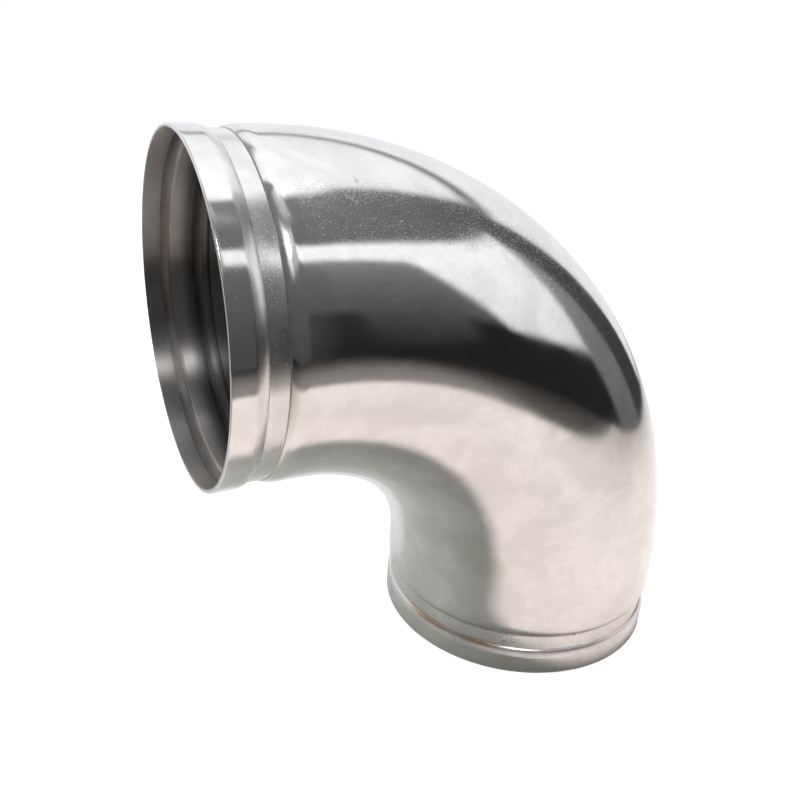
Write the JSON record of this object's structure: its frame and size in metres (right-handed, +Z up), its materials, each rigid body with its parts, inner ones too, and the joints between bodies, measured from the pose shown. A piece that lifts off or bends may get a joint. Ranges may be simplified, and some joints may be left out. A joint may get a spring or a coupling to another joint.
{
  "type": "pipe elbow",
  "caption": "Right-angle pipe elbow in polished thin-wall stainless steel, with a rolled groove round each end for a clamped pipe coupling.",
  "frame": {"origin": "centre of the lower mouth, on its end face", "axes": "+Z up the lower leg, -X out of the upper mouth, +Y across the elbow, square to the plane that it bends in"},
  "size_m": [0.2962, 0.1684, 0.2961],
  "materials": {
    "polished_shell": "bright polished stainless steel with fine scratches",
    "rolled_collar": "bright polished outside, brushed and roll-marked inside",
    "weld_metal": "ground flush and polished outside, bare bead inside"
  },
  "bodies": {
    "root": {"bend_shell_near": "polished_shell", "bend_shell_far": "polished_shell", "outer_seam_weld": "weld_metal", "inner_seam_weld": "weld_metal", "lower_collar": "rolled_collar", "upper_collar": "rolled_collar", "lower_girth_weld": "weld_metal", "upper_girth_weld": "weld_metal"}
  },
  "joints": []
}
